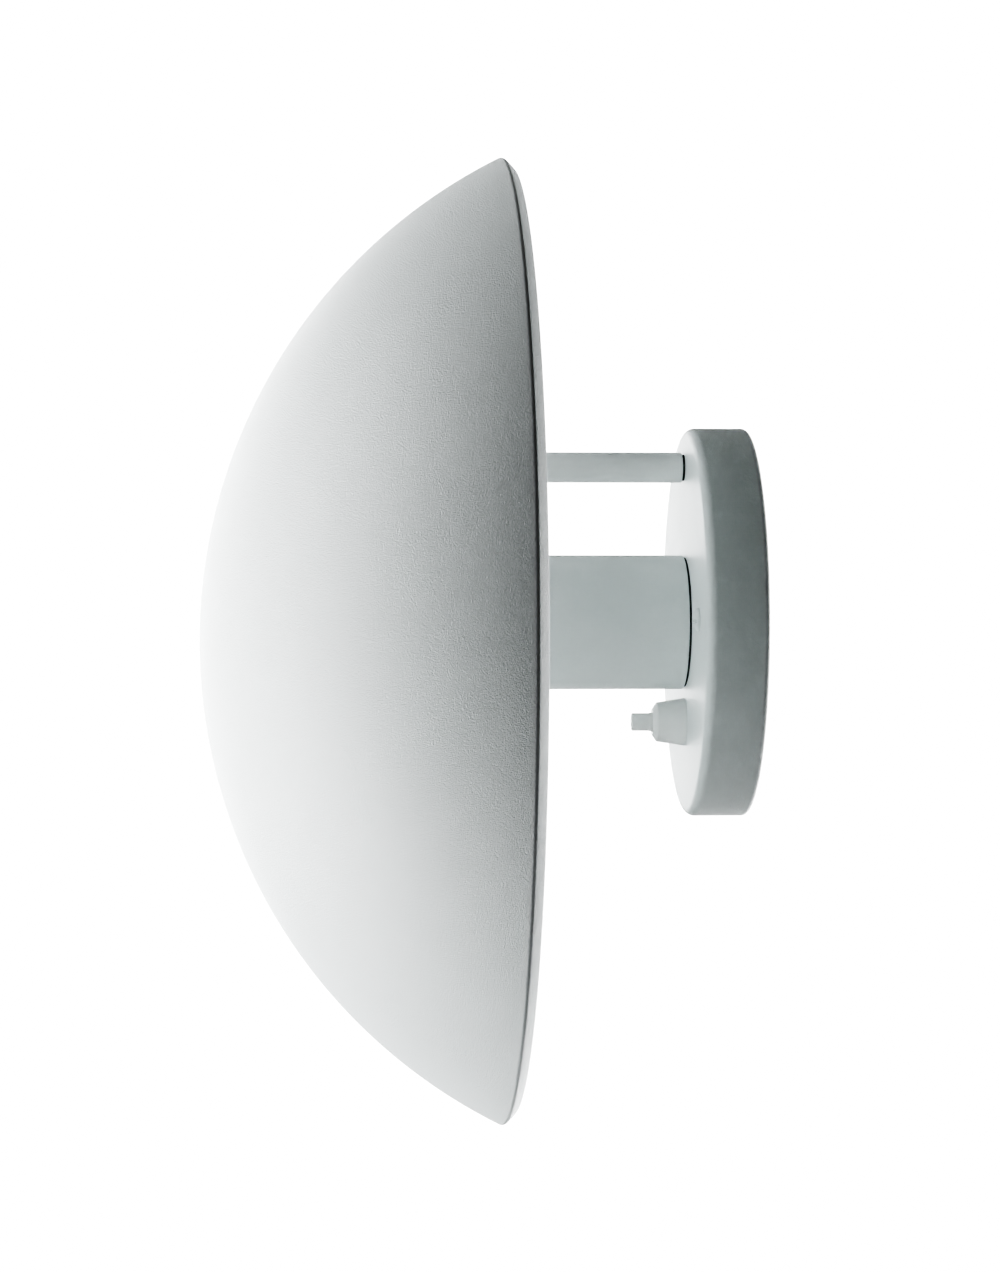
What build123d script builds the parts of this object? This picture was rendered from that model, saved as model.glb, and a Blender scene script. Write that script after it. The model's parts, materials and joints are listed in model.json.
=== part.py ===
"""Wall lamp with a domed shade on a rod, a lampholder tube and a push switch on a round canopy.

Millimetres. The origin is the centre of the wall screws on the wall plane, y = 0. The lamp
stands out from the wall along -Y, +Z is up and +X is the side of the clamping screw.
"""
from build123d import *
import math
import os

# ---- driving dimensions -------------------------------------------------------------------
SHADE_R = 190.0           # the shade's outer radius at its rim
SHADE_SPHERE_R = 212.6    # radius of its outer dome
SHADE_APEX = -215.8       # the dome's furthest point from the wall
SHADE_Z = -7.5            # the shade's axis lies a little below the tube's
SHADE_WALL = 1.5
RIM_PLANE = -93.8         # the shade's nearest point to the wall
RIM_BEND_R = 1.5          # bend between the dome and the rim's flange
FLANGE_START = 44.0       # how far the flange faces the wall at the bend, in degrees
FLANGE_END = 51.0         # and at its free edge, for it is slightly rounded

CANOPY_R = 76.7
CANOPY_DEPTH = 24.0
CANOPY_WALL = 2.5
CANOPY_EDGE_R = 3.6       # rounding of the front edge
CANOPY_BACK_R = 2.0       # rounding of the edge at the wall
SHADOW_GAP = 0.9          # open joint between the canopy and what stands on it

TUBE_R = 26.5
TUBE_WALL = 1.5
TUBE_END = -96.0

ROD_R = 6.0
ROD_Z = 61.3
ROD_END = -189.0

SWITCH_Z = -39.5

COVER_SCREW_X = 48.5
SLOT_SPACING = 60.0       # between the two wall screws, one above the other
SLOT_LENGTH = 12.0
SLOT_R = 2.4
CABLE_BORE_R = 4.5
BRACKET_T = 2.0

BULB_R = 30.0
BULB_TIP = -176.5
BULB_CONTACT = -71.5
LEAD_R = 1.1
SLIP = 0.05               # radial clearance of a screw or shaft in its hole

# ---- places worked out from them ----------------------------------------------------------
FACE = -CANOPY_DEPTH                      # the canopy's front face
INSIDE = FACE + CANOPY_WALL               # and the back of its front wall
SEAT = FACE - SHADOW_GAP                  # where the tube and the rod begin
SPHERE_Y = SHADE_APEX + SHADE_SPHERE_R    # centre of the shade's dome
PAD_OUTER_R = SHADE_SPHERE_R - SHADE_WALL - 0.1
PAD_T = 2.0
SOCKET_R = 10.0
SOCKET_MOUTH = -168.0
CLAMP_Y = -178.0
CLAMP_FLAT_X = 9.5
ROD = (0, ROD_Z)
SWITCH = (0, SWITCH_Z)
PILLARS = [(-COVER_SCREW_X, 0), (COVER_SCREW_X, 0)]
POLES_X = [22.0, 30.0, 38.0]              # neutral, live and earth in the terminal block
POLE_Y = -8.0
EARTH = (44.0, -30.0)
HOLDER_TERMINAL_X = 9.0


# ---- shapes that repeat -------------------------------------------------------------------
def turned(outline, at=(0, 0)):
    """Solid of an outline of (radius, y) corners, turned about the line along Y at (x, z)."""
    return Pos(at[0], 0, at[1]) * revolve(make_face(Polyline(*outline, close=True)), Axis.Y)


def bar(radius, back, front, at=(0, 0)):
    """Round bar along Y."""
    return turned([(0, back), (radius, back), (radius, front), (0, front)], at)


def ring(outer, inner, back, front, at=(0, 0)):
    """Plain ring or sleeve along Y."""
    return turned([(inner, back), (outer, back), (outer, front), (inner, front)], at)


def hex_bar(flats, back, front, at=(0, 0)):
    """Hexagonal bar along Y, given its width across flats."""
    plane = Plane(origin=(at[0], back, at[1]), x_dir=(1, 0, 0), z_dir=(0, -1, 0))
    return extrude(plane * RegularPolygon(flats / 2, 6, major_radius=False), back - front)


def hex_nut(flats, bore, back, front, at=(0, 0)):
    """Hexagon nut with its corners turned off on both sides."""
    corner = flats / 2 / math.cos(math.radians(30))
    low = flats / 2
    rise = (corner - low) * math.tan(math.radians(30))
    blank = turned([(0, back), (low, back), (corner, back - rise),
                    (corner, front + rise), (low, front), (0, front)], at)
    return (hex_bar(flats, back, front, at) & blank) - bar(bore, back + 1, front - 1, at)


def block(low, high):
    """Box between two corners."""
    size = [high[i] - low[i] for i in range(3)]
    middle = [(high[i] + low[i]) / 2 for i in range(3)]
    return Pos(*middle) * Box(*size)


def along_x(radius, start, end, y, z):
    """Round bar along X."""
    return Pos((start + end) / 2, y, z) * Rot(0, 90, 0) * Cylinder(radius, end - start)


def along_z(radius, start, end, x, y):
    """Round bar along Z."""
    return Pos(x, y, (start + end) / 2) * Cylinder(radius, end - start)


def dome_ball(radius):
    """Ball about the centre of the shade's dome."""
    return Pos(0, SPHERE_Y, SHADE_Z) * Sphere(radius)


def lead(*points):
    """Insulated lead of straight runs joined by arcs as large as the runs allow."""
    corners = [Vector(*p) for p in points]
    radii = []
    for before, corner, after in zip(corners, corners[1:], corners[2:]):
        turn = math.radians((corner - before).get_angle(after - corner))
        run = min((corner - before).length, (after - corner).length)
        radii.append(min(0.45 * run / math.tan(turn / 2), 6.0))
    path = FilletPolyline(*points, radius=radii)
    start = Plane(origin=path @ 0, z_dir=path % 0)
    return sweep(start * Circle(LEAD_R), path=path)


# ---- canopy and wall fixing ---------------------------------------------------------------
def canopy():
    """Round drawn cover with a rounded front edge, open at the wall."""
    inner_r = CANOPY_R - CANOPY_WALL
    inner_edge = CANOPY_EDGE_R - CANOPY_WALL + 1.0
    outer = FilletPolyline((0, FACE), (CANOPY_R, FACE), (CANOPY_R, 0), (inner_r, 0),
                           radius=[CANOPY_EDGE_R, CANOPY_BACK_R])
    inner = FilletPolyline((inner_r, 0), (inner_r, INSIDE), (0, INSIDE), radius=inner_edge)
    skin = make_face(outer + inner + Line((0, INSIDE), (0, FACE)))
    shell = revolve(skin, Axis.Y)
    holes = [bar(5.1, 0, FACE - 1), bar(3.2, 0, FACE - 1, ROD), bar(5.1, 0, FACE - 1, SWITCH)]
    holes += [bar(2.25, 0, FACE - 1, at) for at in PILLARS]
    boss = ring(5.0, 1.7, INSIDE + 2.5, INSIDE, EARTH)
    return shell - holes + boss


def wall_bracket():
    """Pressed steel cross: upright arm for the wall screws, level arm for the pillars."""
    plane = Plane(origin=(0, 0, 0), x_dir=(1, 0, 0), z_dir=(0, -1, 0))
    outline = RectangleRounded(118, 26, 8) + RectangleRounded(32, 84, 8) + Circle(24)
    plate = extrude(plane * outline, BRACKET_T)
    slot = plane * Rot(0, 0, 90) * SlotOverall(SLOT_LENGTH, 2 * SLOT_R)
    for side in (-1, 1):
        plate -= extrude(Pos(0, 0, side * SLOT_SPACING / 2) * slot, BRACKET_T)
    plate -= bar(6.5, 1, -BRACKET_T - 1)
    plate -= [bar(2.55, 1, -BRACKET_T - 1, at) for at in PILLARS]
    plate -= [bar(1.3, 1, -BRACKET_T - 1, (x, 0)) for x in (POLES_X[0] + 4, POLES_X[1] + 4)]
    return plate - bar(1.7, 1, -BRACKET_T - 1, (-30, 0))


def cover_pillars():
    """Two threaded hexagon pillars riveted into the bracket."""
    pillars = []
    for at in PILLARS:
        pillar = hex_bar(7, -BRACKET_T, INSIDE, at) + bar(2.5, -0.2, -BRACKET_T, at)
        pillars.append(pillar - bar(2.0 + SLIP, -8, INSIDE - 1, at))
    return pillars


def slotted_screw(at, turn, head_r=4.5, head_h=2.8, shank_r=2.0, shank_end=-10.0):
    """Round-headed screw on the canopy's face; its slot is turned from level by turn degrees."""
    base = 0.7
    rise = head_h - base
    dome_r = (head_r ** 2 + rise ** 2) / (2 * rise)
    top = CenterArc((0, FACE - head_h + dome_r), dome_r, -90,
                    math.degrees(math.asin(head_r / dome_r)))
    side = Polyline(top @ 1, (head_r, FACE), (0, FACE), top @ 0)
    head = Pos(at[0], 0, at[1]) * revolve(make_face(top + side), Axis.Y)
    slot = block((-head_r, FACE - head_h - 1, -0.6), (head_r, FACE - 1.3, 0.6))
    head -= Pos(at[0], 0, at[1]) * Rot(0, turn, 0) * slot
    return head + bar(shank_r, shank_end, FACE, at)


def cable_grommet():
    """Rubber grommet in the bracket's middle, where the supply comes out of the wall."""
    return turned([(CABLE_BORE_R, 0), (6.4, 0), (6.4, -BRACKET_T), (8.5, -BRACKET_T),
                   (8.5, -3.2), (7.5, -4.4), (CABLE_BORE_R, -4.4)])


# ---- wiring -------------------------------------------------------------------------------
BLOCK_LOW = (17.0, -15.5, -8.5)
BLOCK_HIGH = (43.0, -BRACKET_T, 8.5)
TERMINAL_Z = 4.5          # each pole's two screws, above and below the middle


def terminal_block():
    """Three-pole moulding with a wire hole along each pole and two fixing holes."""
    body = fillet(block(BLOCK_LOW, BLOCK_HIGH).edges().filter_by(Axis.Y), 1.2)
    for x in POLES_X:
        body -= along_z(2.45, -9, 9, x, POLE_Y)
        body -= [bar(1.9, POLE_Y, -17, (x, z)) for z in (-TERMINAL_Z, TERMINAL_Z)]
    for x in (POLES_X[0] + 4, POLES_X[1] + 4):
        body -= bar(1.3, 0, -17, (x, 0))
        body -= bar(2.3, -12.5, -17, (x, 0))
    return body


def terminal_inserts():
    """Brass tube in each pole that the wires are clamped in."""
    inserts = []
    for x in POLES_X:
        insert = along_z(2.4, -7.5, 7.5, x, POLE_Y) - along_z(1.6, -8, 8, x, POLE_Y)
        insert -= [bar(1.25, POLE_Y, -12, (x, z)) for z in (-TERMINAL_Z, TERMINAL_Z)]
        inserts.append(insert)
    return inserts


def small_screw(tip, seat, head_r, head_h, shank_r, at):
    """Cheese-headed slotted screw along Y, its head on the side away from the wall."""
    screw = bar(head_r, seat, seat - head_h, at) + bar(shank_r, tip, seat, at)
    return screw - block((at[0] - head_r, seat - head_h, at[1] - 0.3),
                         (at[0] + head_r, seat - head_h + 0.8, at[1] + 0.3))


def terminal_screws():
    """Two clamping screws for each pole, clear of the wire."""
    places = [(x, z) for x in POLES_X for z in (-TERMINAL_Z, TERMINAL_Z)]
    return [small_screw(POLE_Y - 1.25, -10.6, 1.8, 3.0, 1.2, at) for at in places]


def terminal_fixing_screws():
    """Two screws that hold the block to the bracket."""
    places = [(POLES_X[0] + 4, 0), (POLES_X[1] + 4, 0)]
    return [small_screw(-0.2, -12.5, 2.2, 1.6, 1.25, at) for at in places]


def earth_screws():
    """Earth screws: one in the bracket, one in the canopy's boss with its head to the wall."""
    bracket = small_screw(-0.2, -BRACKET_T, 3.4, 2.4, 1.65, (-30, 0))
    seat = INSIDE + 3.5
    head = bar(3.4, seat + 2.4, seat, EARTH)
    head -= block((EARTH[0] - 3.4, seat + 1.5, EARTH[1] - 0.4),
                  (EARTH[0] + 3.4, seat + 2.4, EARTH[1] + 0.4))
    return [bracket, head + bar(1.65, seat, INSIDE + 0.2, EARTH)]


def earth_tag():
    """Ring tag on the earth lead, clamped under the canopy's earth screw."""
    return ring(4.2, 1.9, INSIDE + 3.5, INSIDE + 2.5, EARTH)


def live_lead():
    """From the terminal block to the switch."""
    return lead((POLES_X[1], POLE_Y, -4), (POLES_X[1], POLE_Y, -25), (20, -7.5, SWITCH_Z),
                (4.4, -7.5, SWITCH_Z))


def switched_lead():
    """From the switch up and through the stem to the lampholder."""
    return lead((-4.4, -7.5, SWITCH_Z), (-18, -7.5, SWITCH_Z), (-18, POLE_Y, -15),
                (-1.5, POLE_Y, 0), (-1.5, -50, 0), (-HOLDER_TERMINAL_X + 1.5, -54.5, 0))


def neutral_lead():
    """From the terminal block through the stem to the lampholder."""
    return lead((POLES_X[0], POLE_Y, -4), (POLES_X[0], POLE_Y, -17), (9, POLE_Y, -17),
                (1.5, POLE_Y, 0), (1.5, -50, 0), (HOLDER_TERMINAL_X - 1.5, -54.5, 0))


def earth_lead():
    """From the terminal block to the canopy's earth tag."""
    return lead((POLES_X[2], POLE_Y, -4), (POLES_X[2], POLE_Y, -19),
                (EARTH[0] - 1, INSIDE + 4.7, EARTH[1] + 5.5))


# ---- lampholder tube ----------------------------------------------------------------------
STEM_BACK = -14.0
STEM_FRONT = -46.0
HOLDER_R = 19.5
HOLDER_BACK = -60.0       # where the holder's body meets its cap
SHELL_R = 13.6            # inside of the threaded shell


def lamp_tube():
    """Plain round tube around the lampholder, its far edge slightly broken."""
    inner = TUBE_R - TUBE_WALL
    return turned([(inner, SEAT), (TUBE_R - 0.3, SEAT), (TUBE_R, SEAT - 0.3),
                   (TUBE_R, TUBE_END + 0.5), (TUBE_R - 0.5, TUBE_END), (inner, TUBE_END)])


def tube_base():
    """Disc that closes the tube; its step carries the tube and fills the open joint."""
    fit_r = TUBE_R - TUBE_WALL - SLIP
    step_r = TUBE_R - 0.9
    return turned([(5.1, FACE), (step_r, FACE), (step_r, SEAT), (fit_r, SEAT),
                   (fit_r, SEAT - 3.5), (5.1, SEAT - 3.5)])


def stem_nuts():
    """Two nuts on the stem: behind the canopy's face and inside the tube."""
    return [hex_nut(14, 5 + SLIP, INSIDE + 5.5, INSIDE + 1.0),
            hex_nut(14, 5 + SLIP, SEAT - 3.5, SEAT - 8.0)]


def stem_lock_washer():
    """Toothed washer under the back nut."""
    washer = ring(8.5, 5.1, INSIDE + 1.0, INSIDE)
    tooth = block((7.2, INSIDE - 1, -0.5), (9, INSIDE + 2, 0.5))
    return washer - [Rot(0, 30 * i, 0) * tooth for i in range(12)]


def holder_cap():
    """Lampholder cap, threaded on the stem, that covers the wire terminals."""
    return turned([(5 + SLIP, -38), (12, -38), (HOLDER_R, -45), (HOLDER_R, HOLDER_BACK),
                   (18.3, HOLDER_BACK), (18.3, -47), (5 + SLIP, -47)])


def holder_body():
    """Lampholder sleeve with a rounded mouth."""
    mouth = HOLDER_R - 1.5
    return turned([(14.3, HOLDER_BACK), (HOLDER_R, HOLDER_BACK), (HOLDER_R, TUBE_END + 1.5),
                   (mouth, TUBE_END), (15.3, TUBE_END), (14.3, TUBE_END + 1.0)])


def holder_base():
    """Ceramic base that carries the contacts and the wire terminals."""
    return turned([(0, -58), (18, -58), (18, HOLDER_BACK), (14.1, HOLDER_BACK), (14.1, -67),
                   (0, -67)])


def holder_shell():
    """Sheet shell that the lamp's cap screws into."""
    return ring(SHELL_R + 0.5, SHELL_R, -67.2, -95)


def holder_contact():
    """Sprung centre contact."""
    strip = Polyline((-9, -67), (-1, -67), (3.5, -70.9), (3.5, -71.4), (-1.2, -67.5),
                     (-9, -67.5), close=True)
    return extrude(make_face(strip), 3, both=True)


def holder_terminals():
    """Two wire terminals on the back of the holder's base."""
    return [bar(2.5, -51, -58, (x, 0)) - block((x - 3, -51.8, -0.4), (x + 3, -51, 0.4))
            for x in (-HOLDER_TERMINAL_X, HOLDER_TERMINAL_X)]


# ---- lamp ---------------------------------------------------------------------------------
NECK_R = 14.0
NECK_SWEEP_R = 45.0       # the hollow curve between the neck and the ball


def bulb_glass():
    """Opal glass: a ball that runs down into a neck, and the neck into the cap."""
    wall = 1.0
    ball_y = BULB_TIP + BULB_R
    across = NECK_R + NECK_SWEEP_R
    rise = math.sqrt((BULB_R + NECK_SWEEP_R) ** 2 - across ** 2)
    neck_y = ball_y + rise
    turn = math.degrees(math.atan2(rise, across))
    ball_out = CenterArc((0, ball_y), BULB_R, -90, 90 + turn)
    sweep_out = CenterArc((across, neck_y), NECK_SWEEP_R, 180, turn)
    ball_in = CenterArc((0, ball_y), BULB_R - wall, -90, 90 + turn)
    sweep_in = CenterArc((across, neck_y), NECK_SWEEP_R + wall, 180, turn)
    foot = Polyline((NECK_R, neck_y), (NECK_R, -99.6), (12.2, -98.3), (12.2, -90),
                    (12.2 - wall, -90), (12.2 - wall, -98.3), (NECK_R - wall, -99.6),
                    (NECK_R - wall, neck_y))
    tip = Line(ball_out @ 0, ball_in @ 0)
    return revolve(make_face(ball_out + sweep_out + foot + sweep_in + ball_in + tip), Axis.Y)


def bulb_cap():
    """Threaded cap of the lamp."""
    return turned([(12.5, -97.9), (13.15, -97.9), (13.15, -79), (12.3, -77.6), (11.4, -77.6),
                   (12.5, -79.4)])


def bulb_insulator():
    """Glass insulator between the cap and the end contact."""
    return turned([(0, -73.5), (5.5, -73.5), (11.3, -77.5), (11.3, -79.2), (12.4, -79.6),
                   (12.4, -82), (0, -82)])


def bulb_contact():
    """Soldered end contact."""
    return turned([(0, BULB_CONTACT), (3.2, BULB_CONTACT), (4.5, -72.4), (4.5, -73.5),
                   (0, -73.5)])


def bulb_stem():
    """Glass stem inside the bulb that carries the filament."""
    return turned([(0, -90.3), (11.1, -90.3), (11.1, -92), (5, -96), (3, -104), (3, -126),
                   (4.2, -128), (4.2, -130), (0, -131)])


def bulb_filament():
    """Filament ring round the stem with two support wires."""
    ring_y = -142.0
    loop_r = 14.0
    loop = Pos(0, ring_y, 0) * Rot(90, 0, 0) * Torus(loop_r, 0.5)
    start = Vector(1.5, -129.5, 0)
    for side in (-1, 1):
        foot = Vector(side * start.X, start.Y, 0)
        reach = Vector(side * loop_r, ring_y, 0) - foot
        loop += Plane(origin=foot, z_dir=reach) * Pos(0, 0, reach.length / 2) * Cylinder(
            0.4, reach.length)
    return loop


# ---- rod ----------------------------------------------------------------------------------
def shade_rod():
    """Round rod with chamfered ends, tapped at the canopy end."""
    rod = turned([(0, SEAT), (ROD_R - 0.8, SEAT), (ROD_R, SEAT - 0.8), (ROD_R, ROD_END + 1),
                  (ROD_R - 1, ROD_END), (0, ROD_END)], ROD)
    return rod - bar(3 + SLIP, SEAT + 1, SEAT - 12, ROD)


# ---- shade --------------------------------------------------------------------------------
def along(angle, length):
    """Step of a length in the (radius, y) plane, at an angle in degrees from the radius."""
    a = math.radians(angle)
    return Vector(length * math.cos(a), length * math.sin(a))


def shade():
    """Spun dome; its rim is bent into a short rounded flange that slopes inwards to the wall."""
    bend_r = SHADE_R - RIM_BEND_R
    drop = math.sqrt((SHADE_SPHERE_R - RIM_BEND_R) ** 2 - bend_r ** 2)
    bend = Vector(bend_r, SPHERE_Y - drop)
    lean = math.degrees(math.atan2(drop, bend_r))
    lip_r = SHADE_WALL / 2
    rise = RIM_PLANE - lip_r - bend.Y - along(FLANGE_START, RIM_BEND_R).Y
    rise += along(FLANGE_END, lip_r).Y
    flange_r = rise / (along(FLANGE_END, 1).Y - along(FLANGE_START, 1).Y)
    hub = bend - along(FLANGE_START, flange_r - RIM_BEND_R)
    lip = hub + along(FLANGE_END, flange_r - lip_r)
    dome_turn = 90 - lean
    bend_turn = lean + FLANGE_START
    flange_turn = FLANGE_END - FLANGE_START
    outline = CenterArc((0, SPHERE_Y), SHADE_SPHERE_R, -90, dome_turn)
    outline += CenterArc(bend, RIM_BEND_R, -lean, bend_turn)
    outline += CenterArc(hub, flange_r, FLANGE_START, flange_turn)
    outline += CenterArc(lip, lip_r, FLANGE_END, 180)
    outline += CenterArc(hub, flange_r - SHADE_WALL, FLANGE_START, flange_turn)
    outline += CenterArc((0, SPHERE_Y), SHADE_SPHERE_R - SHADE_WALL, -90, dome_turn)
    outline += Line((0, SHADE_APEX), (0, SHADE_APEX + SHADE_WALL))
    return Pos(0, 0, SHADE_Z) * revolve(make_face(outline), Axis.Y)


def socket_screw(extra=0.0):
    """Countersunk screw square to the dome; extra widens it to cut its own hole."""
    radial = Vector(0, 0, ROD_Z - SHADE_Z)
    inner_r = PAD_OUTER_R - PAD_T
    out = Vector(0, -math.sqrt(inner_r ** 2 - radial.Z ** 2), radial.Z).normalized()
    plane = Plane(origin=(0, SPHERE_Y, SHADE_Z), z_dir=out)
    shank = Pos(0, 0, inner_r - 3.5) * Cylinder(2.0 + extra, 9.0)
    head = Pos(0, 0, PAD_OUTER_R - 1.2) * Cone(2.0 + extra, 4.0 + extra, 2.0)
    return plane * (shank + head)


def shade_pad():
    """Domed plate bonded inside the shade to carry the socket."""
    plate = dome_ball(PAD_OUTER_R) - dome_ball(PAD_OUTER_R - PAD_T)
    return (plate & bar(24, -150, -220, ROD)) - socket_screw(SLIP) - ring(40, 24, -150, -220, ROD)


def rod_socket():
    """Sleeve that slips over the rod's end, with a flat and a cross hole for the clamp."""
    blank = turned([(0, SOCKET_MOUTH), (SOCKET_R - 0.8, SOCKET_MOUTH),
                    (SOCKET_R, SOCKET_MOUTH - 0.8), (SOCKET_R, -210), (0, -210)], ROD)
    socket = blank & dome_ball(PAD_OUTER_R - PAD_T - 0.02)
    socket -= bar(ROD_R + SLIP, SOCKET_MOUTH + 1, ROD_END - 1, ROD)
    socket -= along_x(2.1, 0, SOCKET_R + 1, CLAMP_Y, ROD_Z)
    socket -= block((CLAMP_FLAT_X, CLAMP_Y - 6, ROD_Z - 9), (12, CLAMP_Y + 6, ROD_Z + 9))
    return socket - socket_screw(SLIP)


def clamp_screw():
    """Thumb screw with a grooved head, its tip just off the rod."""
    head_back = CLAMP_FLAT_X + 1.4
    head_r = 7.0
    head = along_x(head_r, head_back, head_back + 8, CLAMP_Y, ROD_Z)
    head = chamfer(head.edges().filter_by(GeomType.CIRCLE), 0.6)
    groove = Pos(0, head_r + 0.15, 0) * Rot(0, 90, 0) * Cylinder(0.55, 20)
    for i in range(24):
        head -= Pos(head_back, CLAMP_Y, ROD_Z) * Rot(15 * i, 0, 0) * groove
    return head + along_x(2.05, ROD_R + 0.15, head_back + 1, CLAMP_Y, ROD_Z)


def clamp_washer():
    """Captive washer between the thumb screw's head and the socket's flat."""
    back = CLAMP_FLAT_X + 0.1
    washer = along_x(5.5, back, back + 1.2, CLAMP_Y, ROD_Z)
    return washer - along_x(2.35, back - 1, back + 3, CLAMP_Y, ROD_Z)


# ---- switch -------------------------------------------------------------------------------
BUSH_FRONT = -35.0
COLLAR_FRONT = -37.0
BODY_FRONT = INSIDE + 1.0
SKIRT_BACK = -31.0


def switch_collar():
    """Tapered ring nut that holds the switch, closed to a small hole at its front."""
    return turned([(5.05, FACE), (9.5, FACE), (7.75, -35.3), (5.2, COLLAR_FRONT),
                   (3.95, COLLAR_FRONT), (3.95, BUSH_FRONT - 0.1), (5.05, BUSH_FRONT - 0.1)],
                  SWITCH)


def switch_body():
    """Moulded switch body behind the canopy's face."""
    body = fillet(block((-8, BODY_FRONT, SWITCH_Z - 6.5), (8, -10, SWITCH_Z + 6.5)).edges()
                  .filter_by(Axis.Y), 1.0)
    return body - bar(2.2, -13, BODY_FRONT - 1, SWITCH)


def switch_button():
    """Plunger with a wider skirt in the bush and a stem down into the body."""
    return turned([(0, -45.4), (3.1, -45.4), (3.5, -45.0), (3.5, -38.35), (3.65, -38.2),
                   (3.65, SKIRT_BACK), (1.8, SKIRT_BACK), (1.8, -18), (0, -18)], SWITCH)


def switch_spring():
    """Return spring between the body and the plunger's skirt."""
    wire_r = 0.35
    height = BODY_FRONT - SKIRT_BACK - 2 * wire_r
    path = Helix(pitch=height / 5, height=height, radius=2.75)
    coil = sweep(Plane(origin=path @ 0, z_dir=path % 0) * Circle(wire_r), path=path)
    return Pos(0, BODY_FRONT - wire_r, SWITCH_Z) * Rot(90, 0, 0) * coil


def switch_terminals():
    """Two solder blades on the back of the switch."""
    return [block((x - 0.4, -10, SWITCH_Z - 2.2), (x + 0.4, -5, SWITCH_Z + 2.2))
            for x in (-4, 4)]


# ---- all nodes ----------------------------------------------------------------------------
NODES = {
    "canopy": canopy(),
    "wall_bracket": wall_bracket(),
    "cover_pillars": cover_pillars(),
    "cover_screws": [slotted_screw(PILLARS[0], -35), slotted_screw(PILLARS[1], 12)],
    "cable_grommet": cable_grommet(),
    "terminal_block": terminal_block(),
    "terminal_inserts": terminal_inserts(),
    "terminal_screws": terminal_screws(),
    "terminal_fixing_screws": terminal_fixing_screws(),
    "earth_screws": earth_screws(),
    "earth_tag": earth_tag(),
    "live_lead": live_lead(),
    "switched_lead": switched_lead(),
    "neutral_lead": neutral_lead(),
    "earth_lead": earth_lead(),
    "lamp_tube": lamp_tube(),
    "tube_base": tube_base(),
    "fixing_stem": ring(5.0, 3.5, STEM_BACK, STEM_FRONT),
    "stem_nuts": stem_nuts(),
    "stem_lock_washer": stem_lock_washer(),
    "holder_cap": holder_cap(),
    "holder_body": holder_body(),
    "holder_base": holder_base(),
    "holder_shell": holder_shell(),
    "holder_contact": holder_contact(),
    "holder_terminals": holder_terminals(),
    "bulb_glass": bulb_glass(),
    "bulb_cap": bulb_cap(),
    "bulb_insulator": bulb_insulator(),
    "bulb_contact": bulb_contact(),
    "bulb_stem": bulb_stem(),
    "bulb_filament": bulb_filament(),
    "shade_rod": shade_rod(),
    "rod_stud": bar(3.0, STEM_BACK, SEAT - 11, ROD),
    "rod_spacer": ring(5.2, 3 + SLIP, FACE, SEAT, ROD),
    "rod_washer": ring(6.2, 3.2, INSIDE + 1.6, INSIDE, ROD),
    "rod_nut": hex_nut(10, 3 + SLIP, INSIDE + 6.6, INSIDE + 1.6, ROD),
    "shade": shade(),
    "shade_pad": shade_pad(),
    "rod_socket": rod_socket(),
    "socket_screw": socket_screw(),
    "clamp_screw": clamp_screw(),
    "clamp_washer": clamp_washer(),
    "switch_collar": switch_collar(),
    "switch_bush": ring(5.0, 3.7, BODY_FRONT, BUSH_FRONT, SWITCH),
    "switch_washer": ring(8.0, 5.1, BODY_FRONT, INSIDE, SWITCH),
    "switch_body": switch_body(),
    "switch_button": switch_button(),
    "switch_spring": switch_spring(),
    "switch_terminals": switch_terminals(),
}

os.makedirs("parts", exist_ok=True)
for name, shape in NODES.items():
    solids = [s for piece in (shape if isinstance(shape, list) else [shape])
              for s in piece.solids()]
    export_step(solids[0] if len(solids) == 1 else Compound(children=solids),
                f"parts/{name}.step")
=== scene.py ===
import json
import math

import bmesh
import bpy
from mathutils import Matrix, Quaternion, Vector


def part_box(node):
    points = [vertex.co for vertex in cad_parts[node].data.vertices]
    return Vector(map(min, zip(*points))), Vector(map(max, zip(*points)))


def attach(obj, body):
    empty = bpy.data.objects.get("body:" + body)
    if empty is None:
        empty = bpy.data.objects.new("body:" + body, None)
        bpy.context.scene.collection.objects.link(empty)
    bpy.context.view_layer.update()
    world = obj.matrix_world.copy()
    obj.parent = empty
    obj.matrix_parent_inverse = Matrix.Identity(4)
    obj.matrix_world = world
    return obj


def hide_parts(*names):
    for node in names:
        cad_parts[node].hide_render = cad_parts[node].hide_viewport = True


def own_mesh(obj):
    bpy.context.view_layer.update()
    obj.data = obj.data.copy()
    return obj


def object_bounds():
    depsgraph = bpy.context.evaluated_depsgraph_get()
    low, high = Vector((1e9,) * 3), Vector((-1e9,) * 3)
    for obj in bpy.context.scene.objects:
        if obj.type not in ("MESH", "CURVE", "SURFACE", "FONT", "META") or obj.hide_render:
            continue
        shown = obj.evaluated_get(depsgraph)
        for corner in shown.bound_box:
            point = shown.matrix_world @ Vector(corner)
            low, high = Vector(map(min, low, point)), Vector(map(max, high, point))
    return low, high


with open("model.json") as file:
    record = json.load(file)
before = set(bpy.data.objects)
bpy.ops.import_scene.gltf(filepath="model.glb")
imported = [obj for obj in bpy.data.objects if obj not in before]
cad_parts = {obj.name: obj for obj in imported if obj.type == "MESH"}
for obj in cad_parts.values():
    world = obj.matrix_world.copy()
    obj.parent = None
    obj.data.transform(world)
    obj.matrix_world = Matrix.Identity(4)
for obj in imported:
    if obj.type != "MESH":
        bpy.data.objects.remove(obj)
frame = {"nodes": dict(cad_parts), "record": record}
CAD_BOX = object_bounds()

MM = 0.001
SHRINK = Matrix.Scale(MM, 4)
NODES = frame["nodes"]
BODY_OF = {node: body for body, nodes in frame["record"]["behaviour"]["bodies"].items()
           for node in nodes}
SLOT_OF = {s["node"]: s["material_slot"] for s in frame["record"]["subparts"]}

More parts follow.
